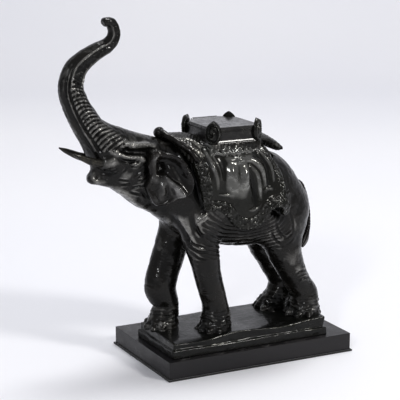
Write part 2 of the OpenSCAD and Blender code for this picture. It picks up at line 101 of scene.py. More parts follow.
def corners(whole, part):
    """The eight corners round points in a grid, with their shares of a smooth mix."""
    for corner in range(8):
        o = [(corner >> k) & 1 for k in range(3)]
        share = 1
        for k in range(3):
            share = share * (part[:, k] if o[k] else 1 - part[:, k])
        yield [whole[:, k] + o[k] for k in range(3)], share


class Clay:
    """A block of clay between two corners, in cubes of one step."""

    def __init__(self, low, high, step=CLAY_STEP):
        self.low = np.array(low, float)
        self.step = step
        count = np.ceil((np.array(high, float) - self.low) / step).astype(int) + 1
        self.field = np.full(count, FAR, np.float32)
        self.axes = [self.low[i] + step * np.arange(count[i]) for i in range(3)]

    def window(self, low, high):
        first = ((low - self.low) / self.step).astype(int)
        last = ((high - self.low) / self.step).astype(int) + 2
        return tuple(slice(max(a, 0), max(b, 0)) for a, b in zip(first, last))

    def mesh(self, cuts=(slice(None),) * 3):
        x, y, z = [self.axes[i][cuts[i]] for i in range(3)]
        return x[:, None, None], y[None, :, None], z[None, None, :]

    def add_chain(self, stations, soft, parts=4):
        """A smooth limb through the stations, blended into the clay."""
        limb = np.full_like(self.field, FAR)
        fine = curve_through(stations, parts * (len(stations) - 1) + 1)
        for a, b in zip(fine, fine[1:]):
            low = np.minimum(a[:3] - a[3:], b[:3] - b[3:]) - REACH
            high = np.maximum(a[:3] + a[3:], b[:3] + b[3:]) + REACH
            cuts = self.window(low, high)
            limb[cuts] = np.minimum(limb[cuts], swept(*self.mesh(cuts), a, b))
        self.field = smooth_min(self.field, limb, soft)

    def sample(self, points):
        """The field at some points, between its cubes."""
        at = np.clip((points - self.low) / self.step, 0, np.array(self.field.shape) - 1.001)
        i = at.astype(int)
        return sum(share * self.field[tuple(cell)] for cell, share in corners(i, at - i))

    def skin(self):
        """Points, outward normals and quads of the surface."""
        grid = openvdb.FloatGrid(FAR)
        grid.copyFromArray(self.field)
        points, quads = grid.convertToQuads(isovalue=0.0)
        points = np.array(points, float) * self.step + self.low
        normals = np.zeros_like(points)
        for k in range(3):
            step = np.zeros(3)
            step[k] = self.step
            normals[:, k] = self.sample(points + step) - self.sample(points - step)
        normals /= np.linalg.norm(normals, axis=1)[:, None] + 1e-9
        a, b, c = [points[quads[:, k]] for k in (0, 1, 2)]
        facing = (np.cross(b - a, c - b) * normals[quads[:, 0]]).sum()
        return points, normals, quads if facing > 0 else quads[:, ::-1]


# --- Surface detail: heights at points, added along the normals ---

def lattice(i, j, k, seed):
    n = (i * 374761393 + j * 668265263 + k * 1274126177 + seed * 974634777) & 0xFFFFFFFF
    n = ((n ^ (n >> 13)) * 1103515245) & 0xFFFFFFFF
    return ((n ^ (n >> 16)) & 0xFFFF) / 32767.5 - 1


def lumps(points, size, seed=0):
    """Smooth noise from -1 to 1 with lumps of about that size."""
    at = points / size
    i = np.floor(at).astype(np.int64)
    f = at - i
    f = f * f * (3 - 2 * f)
    return sum(share * lattice(*cell, seed) for cell, share in corners(i, f))


def steps(value, low, high):
    t = np.clip((value - low) / (high - low), 0, 1)
    return t * t * (3 - 2 * t)


def between(value, low, full, fall, gone):
    """1 from full to fall, with smooth ends that reach 0 at low and at gone."""
    return steps(value, low, full) * (1 - steps(value, fall, gone))


def hill(value, middle, width):
    """A smooth hill of height 1, which is nearly level two widths from its middle."""
    return np.exp(-((value - middle) / width) ** 2)


def waves(value, pitch):
    """Rounded ridges from -0.5 to 0.5, one to each pitch."""
    return np.abs((value / pitch) % 1 - 0.5) * 2 - 0.5


def smooth_line(line):
    """The same line with three more points in every stretch."""
    return curve_through(line, 4 * (len(line) - 1) + 1) if len(line) > 2 else line


def along(line, u, v):
    """Distance along a smooth line of (u, v) points, signed distance off it, and its length."""
    best = np.full(np.broadcast(u, v).shape, 1e9)
    run = np.zeros(best.shape)
    side = np.zeros(best.shape)
    start = 0
    line = smooth_line(line)
    for a, b in zip(line, line[1:]):
        du, dv = b[0] - a[0], b[1] - a[1]
        length = math.hypot(du, dv)
        t = np.clip(((u - a[0]) * du + (v - a[1]) * dv) / length ** 2, 0, 1)
        eu, ev = u - a[0] - t * du, v - a[1] - t * dv
        off = np.hypot(eu, ev)
        closer = off < best
        best = np.where(closer, off, best)
        run = np.where(closer, start + t * length, run)
        side = np.where(closer, np.sign(du * ev - dv * eu) * off, side)
        start += length
    return run, side, start


def fade_ends(run, length, over):
    return steps(run, 0, over) * steps(length - run, 0, over)


def stroke(u, v, width, height, *line, fade=0.35):
    """A tapering ridge, or with a negative height a groove, drawn on the side view."""
    run, side, length = along(line, u, v)
    taper = fade_ends(run + 0.3 * width, length + 0.6 * width, fade * length)
    return height * hill(side, 0, width) * (0.25 + 0.75 * taper) * (np.abs(side) < 3 * width)


def crease(u, v, width, depth, *line):
    """A groove with a low rim pressed up on both sides."""
    run, side, length = along(line, u, v)
    rim = hill(np.abs(side), 1.7 * width, width)
    return depth * (0.55 * rim - hill(side, 0, width)) * fade_ends(run, length, 0.3 * length)


def crest(u, v, under, over, height, *line):
    """A fold that rises slowly on the line's right-hand side and drops fast on its left."""
    run, side, length = along(line, u, v)
    width = np.where(side < 0, under, over)
    return height * hill(side, 0, width) * fade_ends(run + 2, length + 4, 6)


def drawn(kind, marks, u, v, **options):
    """All of these strokes, creases or crests together."""
    return sum(kind(u, v, *mark, **options) for mark in marks)


def inside(edge, u, v):
    """Signed distance to a closed outline of (u, v) points, negative inside."""
    closed = list(edge) + [edge[0]]
    odd = np.zeros(np.broadcast(u, v).shape, bool)
    best = np.full(odd.shape, 1e9)
    for a, b in zip(closed, closed[1:]):
        du, dv = b[0] - a[0], b[1] - a[1]
        t = np.clip(((u - a[0]) * du + (v - a[1]) * dv) / (du * du + dv * dv), 0, 1)
        best = np.minimum(best, np.hypot(u - a[0] - t * du, v - a[1] - t * dv))
        meets = du * (v - a[1]) / (dv if dv else 1e-9) + a[0]
        odd ^= ((a[1] > v) != (b[1] > v)) & (u < meets)
    return np.where(odd, -best, best)


def relief_of(height, points):
    """High spots near 1 and hollows near 0, from the height that the detail added."""
    # The patinas put wear with a painted highlight where this is high, and painted shade where it is low
    spread = 0.5 + height / (3 * height.std() + 1e-6)
    return 0.85 * spread + 0.15 * (0.5 + 0.5 * lumps(points, 9, 41))


# --- Pieces ---

def placed(points):
    """Metres in the frame, from millimetres with y measured from the seam."""
    return (np.array(points) + [0, seam_y, 0]) * MM


def mesh_of(name, points, faces, relief=None):
    """A smooth mesh; relief marks its high spots."""
    mesh = bpy.data.meshes.new(name)
    mesh.from_pydata(np.array(points).tolist(), [], [list(f) for f in faces])
    if relief is not None:
        mark = mesh.attributes.new("relief", "FLOAT", "POINT")
        mark.data.foreach_set("value", np.clip(relief, 0, 1).astype(np.float32))
    mesh.polygons.foreach_set("use_smooth", np.ones(len(mesh.polygons), bool))
    mesh.update()
    return mesh


def new_object(name, data):
    thing = bpy.data.objects.new(name, data)
    scene.collection.objects.link(thing)
    return thing


def face_outwards(mesh):
    shape = bmesh.new()
    shape.from_mesh(mesh)
    bmesh.ops.recalc_face_normals(shape, faces=shape.faces)
    shape.to_mesh(mesh)
    shape.free()


def add_piece(node, mesh, iron):
    """A piece that stands for one CAD node of the bank, in one of the irons."""
    piece = new_object(node + "_cast", mesh)
    mesh.materials.clear()
    mesh.materials.append(patinas[iron])
    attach(piece, "bank")
    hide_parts(node)
    return piece


def cast(node, points, faces, relief, iron):
    """A piece from points in millimetres from the seam."""
    return add_piece(node, mesh_of(node, placed(points), faces, relief), iron)


def tube_faces(rings, sides):
    """Faces between rings of points, closed by two middle points that come after them."""
    faces = []
    last = rings * sides
    for k in range(sides):
        n = (k + 1) % sides
        for i in range(0, last - sides, sides):
            faces.append((i + k, i + n, i + sides + n, i + sides + k))
        faces += [(last, n, k), (last + 1, last - sides + k, last - sides + n)]
    return faces


def bevel_edges(thing, width, segments):
    bevel = thing.modifiers.new("edges", "BEVEL")
    bevel.width = width
    bevel.segments = segments
    bevel.limit_method = "ANGLE"
    bevel.angle_limit = math.radians(40)


# --- Materials ---

class Paint:
    """A material's nodes. Patterns lie in the object's own metres."""

    def __init__(self, name):
        self.material = bpy.data.materials.new(name)
        self.material.use_nodes = True
        self.tree = self.material.node_tree
        self.place = self.node("TexCoord", "Object", {})

    def feed(self, sockets, inputs):
        """Link or set each of these inputs; a colour is three numbers."""
        for label, value in inputs.items():
            socket = sockets[label]
            if isinstance(value, bpy.types.NodeSocket):
                self.tree.links.new(value, socket)
            else:
                socket.default_value = (*value, 1) if socket.type == "RGBA" else value

    def node(self, kind, output, inputs, **settings):
        """One output of a new node."""
        node = self.tree.nodes.new("ShaderNode" + kind)
        for label, value in settings.items():
            setattr(node, label, value)
        self.feed(node.inputs, inputs)
        return node.outputs[output]

    def noise(self, scale, detail, rough, stretch=None):
        place = self.place
        if stretch:
            place = self.node("Mapping", "Vector", {"Scale": stretch, "Vector": place})
        inputs = {"Scale": scale, "Detail": detail, "Roughness": rough, "Vector": place}
        return self.node("TexNoise", "Fac", inputs)

    def tint(self, value, dark, light, end=0.7):
        """A colour from dark at 0.3 to light at the end."""
        colour = self.node("ValToRGB", "Color", {"Fac": value})
        stops = colour.node.color_ramp.elements
        stops[0].position, stops[1].position = 0.3, end
        stops[0].color, stops[1].color = (*dark, 1), (*light, 1)
        return colour

    def spread(self, value, low, high, to_low, to_high):
        """The value, spread from low and high to two new limits and held there."""
        return self.node("MapRange", "Result", dict(enumerate((value, low, high, to_low, to_high))))

    def math(self, operation, a, b):
        return self.node("Math", "Value", {0: a, 1: b}, operation=operation)

    def mix(self, factor, a, b):
        """Colour a turned into b by a factor."""
        return self.node("Mix", "Result", {"Factor": factor, "A": a, "B": b}, data_type="RGBA")

    def bump(self, height, distance, strength, onto=None):
        inputs = {"Height": height, "Distance": distance, "Strength": strength}
        if onto:
            inputs["Normal"] = onto
        return self.node("Bump", "Normal", inputs)

    def finished(self, inputs):
        """The material, once its shader has these inputs."""
        self.feed(self.tree.nodes["Principled BSDF"].inputs, inputs)
        return self.material


def patina(name, dark, warm, worn_highlight_colour, rough_low, rough_high, grain=1.0, relief=True):
    """Dark patina on cast iron: rougher, with painted shade in the hollows; glossy, metallic and lighter
    where worn, which also paints highlights on the high spots.
    """
    paint = Paint(name)
    base = paint.tint(paint.noise(55, 5, 0.6), dark, warm)
    patches = paint.noise(160, 4, 0.65)
    wear_and_highlight = paint.spread(patches, 0.45, 0.75, 0, 1)
    if relief:
        mark = paint.node("Attribute", "Fac", {}, attribute_name="relief")
        # The relief's high spots are worn lighter and metallic, which also paints highlights on them
        high = paint.spread(mark, 0.6, 0.95, 0, 1)
        wear_and_highlight = paint.math("MULTIPLY", high, paint.math("ADD", wear_and_highlight, 0.5))
        # Painted shade: the hollows of the relief are darkened towards a darker copy of the patina and made
        # rougher
        dark_patch_and_shade_mask = paint.spread(mark, 0.15, 0.5, 0.8, 0)
    else:
        dark_patch_and_shade_mask = paint.spread(patches, 0.3, 0.6, 0.25, 0)
    # The darker copy of the patina: painted shade in the hollows, or dark random patches where there is no
    # relief
    dark_patch_and_shade_colour = tuple(0.35 * c for c in dark)
    streaks = paint.noise(130, 5, 0.7)
    rough = paint.spread(streaks, 0.3, 0.7, rough_low, rough_high)
    rough = paint.math("ADD", rough, paint.math("MULTIPLY", dark_patch_and_shade_mask, 0.2))
    pits = paint.bump(paint.noise(900, 3, 0.6), 0.0003, 0.3 * grain)
    return paint.finished({
        "Base Color": paint.mix(wear_and_highlight, paint.mix(dark_patch_and_shade_mask, base, dark_patch_and_shade_colour), worn_highlight_colour),
        "Metallic": paint.spread(wear_and_highlight, 0, 1, 0.25, 0.85),
        "Roughness": paint.math("SUBTRACT", rough, paint.math("MULTIPLY", wear_and_highlight, 0.1)),
        "Normal": paint.bump(paint.noise(260, 4, 0.6), 0.0008, 0.3 * grain, pits),
        "Specular IOR Level": 0.15,
        "Coat Weight": 0.4,
        "Coat Roughness": 0.1
    })


# Dark, warm and worn colours, the worn one also painting highlights, roughness from and to, the grain and
# whether relief marks wear, painted highlights and painted shade
irons = {
    "elephant_iron": [(0.0055, 0.0055, 0.005), (0.011, 0.0095, 0.0075), (0.25, 0.246, 0.232), 0.2, 0.38],
    "ear_iron": [(0.007, 0.0065, 0.006), (0.014, 0.012, 0.01), (0.22, 0.217, 0.21), 0.14, 0.28, 0.5],
    "cloth_iron": [(0.0055, 0.006, 0.0042), (0.011, 0.0105, 0.0075), (0.2, 0.2, 0.188), 0.14, 0.27, 0.7],
    "pad_iron": [(0.007, 0.007, 0.0055), (0.014, 0.0125, 0.009), (0.21, 0.206, 0.19), 0.2, 0.36],
    "ground_iron": [(0.006, 0.0065, 0.0055), (0.011, 0.011, 0.009), (0.07, 0.068, 0.055), 0.16, 0.34, 0.8],
    "howdah_iron": [(0.01, 0.01, 0.01), (0.017, 0.016, 0.015), (0.045, 0.044, 0.04), 0.24, 0.38, 0.5, False],
    "tusk_iron": [(0.008, 0.008, 0.007), (0.017, 0.015, 0.012), (0.07, 0.065, 0.05), 0.2, 0.34, 0.4, False],
}
patinas = {name: patina(name, *look) for name, look in irons.items()}


def black_lacquer():
    paint = Paint("plinth_lacquer")
    cloud = paint.noise(14, 6, 0.65, (1, 3, 3))
    scuff = paint.noise(70, 8, 0.75, (1, 1, 2))
    grain = paint.noise(500, 3, 0.6, (0.15, 1, 1))
    return paint.finished({
        "Base Color": paint.tint(cloud, (0.0055, 0.005, 0.006), (0.011, 0.0095, 0.0105), 0.75),
        "Roughness": paint.spread(scuff, 0.35, 0.75, 0.26, 0.5),
        "Normal": paint.bump(grain, 0.0002, 0.25)
    })


def black_felt():
    paint = Paint("felt")
    fuzz = paint.noise(2500, 6, 0.8)
    return paint.finished({
        "Base Color": paint.tint(fuzz, (0.006, 0.006, 0.006), (0.02, 0.02, 0.02)),
        "Roughness": 0.95,
        "Sheen Weight": 0.3,
        "Normal": paint.bump(fuzz, 0.0004, 0.8)
    })


def screw_steel():
    paint = Paint("screw_steel")
    brushed = paint.noise(1500, 3, 0.6, (1, 1, 0.1))
    return paint.finished({
        "Base Color": paint.tint(brushed, (0.3, 0.3, 0.3), (0.5, 0.5, 0.5)),
        "Metallic": 1,
        "Roughness": paint.spread(brushed, 0.3, 0.7, 0.3, 0.5)
    })


steel = screw_steel()


# --- The elephant: stations of x, y, z and the three radii ---

torso_st = [
    [35, 0, 129, 31, 30, 33], [25, 0, 139, 30, 33, 41], [14, 0, 142, 28, 37, 43],
    [-6, 0, 146, 30, 38, 46], [-32, 0, 150, 28, 36, 44], [-56, 0, 158, 24, 31, 39]
]
head_st = [
    [-56, 0, 158, 24, 29, 38], [-82, 0, 169, 20, 25, 33], [-100, 0, 181, 20, 21, 26],
    [-116, 0, 192, 17, 17, 20.5], [-127, 0, 198, 14, 14, 17]
]
jaw_st = [
    [-94, 0, 163, 16, 15, 18.4], [-113, 0, 170.8, 14, 12, 12.2], [-127, 0, 173, 9, 9.5, 8]
]
lip_st = [
    [-122, 0, 172, 9, 8.5, 6.6], [-132, 0, 170.9, 6, 7, 4.4], [-140.2, 0, 171, 3.6, 5.8, 3.4],
    [-138.6, 0, 175.5, 2.2, 4.6, 2.6], [-136.8, 0, 180.5, 1.4, 3.2, 2]
]
trunk_st = [
    [-127, 0, 195, 15, 15, 16], [-134, 0, 204, 14, 13.5, 14], [-141.4, 0, 214, 12.9, 12, 12.9],
    [-148.6, 0, 226, 11.9, 11, 11.9], [-153.8, 0, 237, 11.3, 10.3, 11.3],
    [-156.6, 0, 247, 10.7, 10, 10.7], [-155.4, 0, 256.5, 10, 9.5, 10],
    [-152, 0, 264, 9.2, 9, 9.2], [-146, 0, 269.5, 8.2, 8.2, 8.2], [-139, 0, 274, 7.5, 7.5, 7.5],
    [-131.5, 0, 278, 6.8, 6.8, 6.8], [-124, 0, 281.5, 6, 6.2, 6], [-119, 0, 287, 5.4, 5.6, 5.4],
    [-118, 0, 293, 5, 5.4, 5], [-120.5, 0, 299.4, 4.6, 5.2, 4.4], [-125.6, 0, 300.4, 3.6, 5.2, 3.8]
]
cheek_st = [[-119, -9, 186, 9, 8, 8], [-131, -12.5, 186, 6, 5.2, 6]]
leg_sts = [
    # Front left
    [[-52, -19, 142, 20, 14, 22], [-48, -18, 118, 17, 13, 16], [-42, -16, 92, 13, 12, 12],
     [-38, -15, 74, 11.8, 11, 11], [-32, -14, 54, 11.4, 11, 10], [-31, -14, 40, 13, 13, 10],
     [-31.5, -14.7, 31, 14, 14, 6]],
    # Front right
    [[-51, 19, 142, 19.5, 14, 22], [-53.6, 19, 116, 15, 13, 16], [-61.6, 18, 92, 15, 13, 13],
     [-69.6, 16, 70, 14.5, 12.5, 13], [-69.6, 15, 60, 13.6, 12, 11], [-65, 15, 50, 11, 11.5, 10],
     [-67, 15, 39, 12.5, 12.5, 10], [-68, 15, 31, 14, 14, 6]],
    # Rear left
    [[33, -15, 124, 24, 16, 26], [34.4, -17, 98, 17.4, 14, 16], [42, -16, 80, 13.5, 13, 12],
     [51, -15, 63, 12, 12, 11], [58, -14, 52, 13, 12.5, 10], [58.5, -14, 41, 14.5, 13.5, 10],
     [58.5, -14.7, 33, 15.5, 14.4, 6]],
    # Rear right
    [[34, 15, 124, 24, 16, 26], [35, 17, 96, 17, 14, 16], [42, 16, 76, 12, 12.5, 12],
     [51, 15, 58, 11, 11.5, 11], [50, 15, 47, 12, 12, 9], [45, 15, 39, 13, 13, 8],
     [43, 15.5, 33, 14.5, 14.5, 6]],
]
# Each foot's middle and outline radii, and the turns of its toes from straight ahead
feet = [
    [-31.5, -14.7, 31, 13.2, 13.2], [-68, 15, 31, 13.2, 13.2],
    [58.5, -14.7, 33.5, 14.6, 13.6], [43, 15.5, 33, 13.6, 13.6]
]
toe_turns = [-75, -40, -5, 30, 62]
toe_r = 3.7
nail_r = 2.5
neck_soft = 9
leg_soft = 7


def mirrored(stations):
    return [[s[0], -s[1], *s[2:]] for s in stations]


def toe_chains(foot):
    """A toe pad and a nail for each toe, at the foot's outline, and how softly they blend."""
    x, y, z, rx, ry = foot
    side = 1 if y < 0 else -1
    for turn in toe_turns:
        angle = math.radians(180 - turn * side)

        def ball(reach, up, radius):
            across, along_x = reach * ry * math.sin(angle), reach * rx * math.cos(angle)
            return [x + along_x, y + across, z + up, radius, radius, radius]

        yield [ball(1, 0.5, toe_r), ball(0.68, 6, 3)], 2.2
        yield [ball(1.2, -0.6, nail_r), ball(1.1, 2.6, 1.7)], 0.7


def shape_elephant():
    clay = Clay([-172, -44, 22], [80, 44, 309])
    clay.add_chain(torso_st, 1)
    clay.add_chain(head_st, neck_soft)
    clay.add_chain(jaw_st, neck_soft)
    clay.add_chain(lip_st, 4)
    clay.add_chain(trunk_st, 10)
    for stations in (cheek_st, mirrored(cheek_st)):
        clay.add_chain(stations, 5)
    for stations in leg_sts:
        clay.add_chain(stations, leg_soft)
    for foot in feet:
        for stations, soft in toe_chains(foot):
            clay.add_chain(stations, soft, 1)
    return clay


trunk_ring_pitch = 3.7
nostril_x, nostril_z = -128.8, 299.4


def trunk_detail(p):
    """Ridges along the trunk, rings across its side panels and a scaly upper channel."""
    x, y, z = p.T
    run, side, length = along([(s[0], s[2]) for s in trunk_st], x, z)
    on = (z > 196) & (x < -112) | (z > 215)
    radius = np.interp(run, np.linspace(0, length, len(trunk_st)), [s[3] for s in trunk_st])
    # Degrees round the trunk: 0 along its top and 180 along its underside
    turn = np.degrees(np.arctan2(np.abs(y), side))
    part = run / length
    panel = between(turn, 64, 70, 128, 146)
    drift = 0.002 * (turn - 90) ** 2 + 1.1 * lumps(p * [1, 0.4, 1], 9, 3)
    rings = waves(run + drift, trunk_ring_pitch)
    lower = 1 - steps(part, 0.46, 0.58)
    hoop = steps(rings, -0.36, -0.05) - 0.6 + 0.35 * rings
    tiles = steps(part, 0.28, 0.36) * waves(turn + 14 * lumps(p, 6, 20), 17)
    height = panel * lower * (1.5 * hoop + 0.7 * tiles + 0.25 * lumps(p, 2, 8) + 0.3 * lumps(p, 4, 9))
    groove = hill(turn, 62, 5) + 0.6 * hill(turn, 44, 4)
    rib = hill(turn, 53, 5) + 0.7 * hill(turn, 72, 4)
    height += (0.8 * rib - 1.2 * groove) * (1 - steps(part, 0.5, 0.62))
    scales = lumps(p * [1, 0.6, 1], 1.9, 5) + 0.5 * lumps(p, 3.5, 6)
    bed = between(turn, 72, 82, 118, 128)
    lips = hill(turn, 68, 6) + 0.8 * hill(turn, 131, 7)
    height += between(part, 0.42, 0.52, 0.93, 0.98) * (bed * (1.1 * scales - 1) + 1.4 * lips)
    # A scaly patch over the bend
    height += 0.6 * hill(part, 0.43, 0.07) * between(turn, 34, 44, 60, 70) * scales
    streaks = lumps(np.stack([run / 9, turn / 11, 0 * run], 1), 1, 10)
    height += 0.35 * streaks + 0.16 * lumps(p, 2.2, 11)
    nostril = 1.6 * hill(x, nostril_x, 2.2) * hill(y, 0, 2.8) * hill(z, nostril_z, 2)
    return np.where(on, height * np.minimum(radius / 8, 1), 0) - nostril


# Strokes on both sides of the head: a width, a height and points (x, z)
head_strokes = [
    (1.9, 2.6, (-123, 201), (-112, 199.6), (-105, 199), (-98, 198.8), (-87, 197.4)),
    (2.6, -3, (-124, 197.5), (-112, 195.2), (-100, 194.3), (-90, 192.8)),
    (1.9, 2.6, (-129, 195.6), (-121, 193.6), (-116.5, 191), (-107, 190)),
    (1.6, -1.9, (-122, 189.5), (-114, 186.8), (-107, 187.2)),
    (2, 1.9, (-110.5, 184.2), (-106.5, 184.6)),
    (1.9, 2, (-105, 188.8), (-101.2, 187.6), (-98.6, 185.2)),
    (2.2, -1.6, (-97, 198), (-93, 193), (-90, 191)), (4, 1, (-131, 187), (-126, 187.5)),
    (1.9, -2.8, (-136.5, 181), (-131.5, 178.6), (-125, 177)),
    (1.3, 0.9, (-138, 180), (-141, 173), (-136, 169.8), (-129, 169.4)),
    (4.5, 1, (-118, 174), (-112, 175)), (1.6, -1, (-112, 173), (-106, 178), (-101, 184)),
    (3.4, -2.2, (-97, 160), (-90, 150), (-82, 142)),
    (3, -3, (-98, 192), (-97.5, 182), (-98.5, 168)),
    (2.2, 1.2, (-128, 167.6), (-119, 162), (-108.7, 155), (-103, 148), (-91, 141)),
    (2.6, -1.4, (-86, 196), (-79, 193), (-71, 187), (-66, 180)),
    (3.8, -5, (-61, 194), (-59.5, 180), (-57.5, 166), (-55, 150), (-52, 142)),
]
# Creases: a width, a depth and points
head_creases = [
    (0.7, 1.5, (-111.9, 182.2), (-108.4, 184.8), (-104.9, 187.6)),
    (0.7, 1.2, (-114.5, 183.6), (-110, 182.4), (-105.5, 183.2)),
    (0.6, 1, (-113.5, 186.2), (-109.5, 187), (-105.5, 186)),
    (0.8, 1.5, (-103, 173.6), (-95, 180)), (0.8, 1.2, (-107.5, 171.5), (-99.5, 178.6)),
    (0.8, 1.1, (-104.5, 168.5), (-97.5, 173)), (0.8, 1.4, (-130, 179), (-123.5, 181.2)),
    (0.8, 1.4, (-126.6, 176.2), (-122, 178.6)), (0.7, 1.2, (-107.4, 170.4), (-102.6, 171)),
    (0.9, 1.4, (-119.8, 166.5), (-111, 167.2)),
    (0.9, 1.4, (-111.6, 163.6), (-104, 165.4), (-98.4, 166)),
    (0.8, 1, (-122, 171.5), (-113, 170.6)), (1, 1.3, (-112, 160), (-101, 157)),
    (1.1, 1.2, (-104, 162), (-96, 152)), (1.1, 1.1, (-98, 160), (-90, 147)),
    (0.8, 0.9, (-119, 177), (-116, 181), (-115, 185)),
]
left_creases = [
    (1.7, 1.8, (-77, 141), (-68, 126), (-58, 107)),
    (2.2, 1, (-64, 141), (-61, 131), (-57, 122)),
    (1.3, 1.6, (-58, 130), (-56, 124), (-51, 117)), (1, 1, (-66, 120), (-58, 112), (-48, 108)),
    (1, 1, (-64, 114), (-56, 106), (-46, 103)), (0.9, 0.9, (-60, 106), (-53, 99), (-45, 97)),
    (0.7, 1.3, (26.5, 148.8), (32, 150.8)), (1.1, 0.8, (17, 126), (22, 115), (31, 106)),
    (1, 0.7, (14, 118), (20, 108), (29, 100)), (0.7, 0.9, (27, 112), (31, 113), (35, 117)),
    (0.7, 0.8, (27, 107.5), (32, 109), (36, 113)), (0.7, 0.6, (28, 103), (33, 104), (38, 109)),
    (1.2, 0.7, (30, 135), (35, 122), (36, 110)), (1, 0.9, (40, 72), (47, 76), (56, 74)),
    (1, 0.9, (43, 66), (51, 69), (60, 67)),
]
# A tassel of the cloth's front corner, lying on the shoulder
tassel_strokes = [
    (1.6, 2.6, (-58.5, 132.5), (-55, 136.5), (-49, 139.5)),
    (1.1, 1.4, (-57, 130), (-52.5, 133.5), (-48, 136)),
]


def skin_detail(p, n):
    x, y, z = p.T
    facing = steps(np.abs(n[:, 1]), 0.12, 0.5)
    height = np.zeros(len(p))
    head = (x < -50) & (z < 215) & (z > 138)
    left = y < 0
    for on, kind, marks in (
        (head, stroke, head_strokes), (head, crease, head_creases),
        (left, crease, left_creases), (left, stroke, tassel_strokes)
    ):
        height[on] += facing[on] * drawn(kind, marks, x[on], z[on])
    # Folds in arcs round the belly, and fine hoops round the legs
    ring = np.hypot((x + 12) / 1.35, z - 152)
    belly = steps(ring, 24, 29) * (1 - steps(np.abs(x + 14), 36, 46)) * (z < 142) * (z > 97)
    height += belly * 0.85 * waves(ring + 1.4 * lumps(p, 10, 12), 3.5)
    legs = 1 - steps(z, 100, 122)
    hoops = waves(z + 0.35 * x + 2.6 * lumps(p, 8, 14), 2.4)
    height += legs * steps(z, 42, 50) * 0.24 * hoops * (0.5 + 0.5 * lumps(p, 14, 15))
    knuckles = (1 - steps(z, 42, 54)) * steps(z, 28, 32)
    height += knuckles * (0.7 * lumps(p, 3.2, 19) + 0.5 * waves(z + 2 * lumps(p, 7, 13), 3.4))
    body = 1 - 0.8 * steps(z, 212, 225)
    height += body * (0.3 * lumps(p, 6, 16) + 0.35 * lumps(p, 15, 17)) + 0.13 * lumps(p, 2.4, 18)
    # The hollow under the cloth's rear corner
    hole = hill(x + 0.7 * (z - 135), 17, 5) * hill(z, 135, 6.5)
    height -= np.where(left, 7, 3) * hole * facing
    return height


def cast_elephant():
    """The whole casting, still in millimetres from the seam."""
    points, normals, quads = shape_elephant().skin()
    height = skin_detail(points, normals) + trunk_detail(points)
    points = points + normals * height[:, None]
    return mesh_of("elephant", points, quads, relief_of(height, points))


def take_half(whole, node, side):
    """One half of the casting, cut at the seam and closed there."""
    shape = bmesh.new()
    shape.from_mesh(whole)
    everything = shape.verts[:] + shape.edges[:] + shape.faces[:]
    cut = bmesh.ops.bisect_plane(shape, geom=everything, dist=1e-5, plane_co=(0, 0, 0),
                                 plane_no=(0, side, 0), clear_inner=True)
    rim = [e for e in cut["geom_cut"] if isinstance(e, bmesh.types.BMEdge)]
    caps = bmesh.ops.triangle_fill(shape, edges=rim, use_beauty=True, normal=(0, -side, 0))
    for face in caps["geom"]:
        if isinstance(face, bmesh.types.BMFace):
            face.smooth = False
    bmesh.ops.scale(shape, vec=(MM, MM, MM), verts=shape.verts)
    bmesh.ops.translate(shape, vec=(0, seam_y * MM, 0), verts=shape.verts)
    mesh = bpy.data.meshes.new(node)
    shape.to_mesh(mesh)
    shape.free()
    add_piece(node, mesh, "elephant_iron")


whole_elephant = cast_elephant()
take_half(whole_elephant, "left_half", -1)
take_half(whole_elephant, "right_half", 1)


# --- Ears: leaves given by their edge and folds seen from the side ---

ear_edge = [
    (-98, 190.3), (-96.5, 194), (-93, 196.4), (-88.2, 195.2), (-81.8, 193.5), (-74.8, 190),
    (-68.6, 183.3), (-64.6, 175.8), (-62.8, 168.5), (-63.6, 163.6), (-65.6, 160), (-69, 157.4),
    (-71.4, 156.4), (-78.6, 155.4), (-80.4, 152.6), (-85.8, 149.6), (-92.4, 148.8), (-95.6, 151.6),
    (-98.4, 157.6), (-101.4, 165), (-99.8, 168.8), (-98.2, 175.7), (-99.5, 183)
]
ear_thick = 2.2
# Crests: their slow and fast widths, height and points
ear_crests = [
    (5.5, 2.4, 5.6, (-89, 178.5), (-86.5, 173.5), (-82.8, 169.4), (-78.6, 165.4),
     (-75.4, 161), (-72.4, 156.4)),
    (3.6, 1.2, 2.4, (-98, 188), (-92, 191.6), (-85, 192.6), (-77.5, 190.4), (-72, 185), (-69.4, 179),
     (-66.4, 174), (-63.6, 169)),
]
ear_strokes = [
    (1.5, 1.6, (-93.6, 189), (-92.2, 193), (-88.5, 195.2), (-83, 194)),
    (3.2, -5, (-88.6, 186), (-88, 180), (-89, 174.5)),
    (3.4, -2.6, (-86, 187), (-79, 183.5), (-75, 176.5), (-70.5, 167)),
    (2.6, -1.1, (-85.6, 171), (-84.6, 165), (-85.2, 156)),
    (3.2, 3.8, (-91, 169.5), (-89.6, 164.5), (-89, 157)),
    (1.8, 1.4, (-97.6, 168), (-95.5, 163)),
    (1.2, 1.3, (-72, 157.6), (-78.4, 156.8), (-81.4, 153.8), (-86, 151.2), (-92, 150.6)),
    (1.4, 1.5, (-101, 166), (-98.5, 170.5), (-97, 175)),
]
ear_creases = [
    (0.9, 0.3, (-94, 160), (-91, 152)), (0.9, 0.4, (-83, 166), (-80, 158)),
    (0.8, 0.5, (-72, 183), (-67, 181)), (0.8, 0.5, (-70.5, 179), (-65.5, 176.5)),
    (0.8, 0.5, (-76, 188.6), (-72.5, 186)),
]


def ear_spread(x):
    """How far the flat ear would stand out from the seam."""
    return 22 + 14 * steps(x, -100, -66)


def ear_surface(x, z):
    """How far the ear's middle stands out from the seam."""
    out = ear_spread(x) + 2.5 * steps(-z, -172, -152)
    # Flesh over the pins at the ear's root
    out = out + 2.6 * hill(x, -95.5, 3.4) * steps(z, 164, 172)
    return out + drawn(crest, ear_crests, x, z) + drawn(stroke, ear_strokes, x, z)


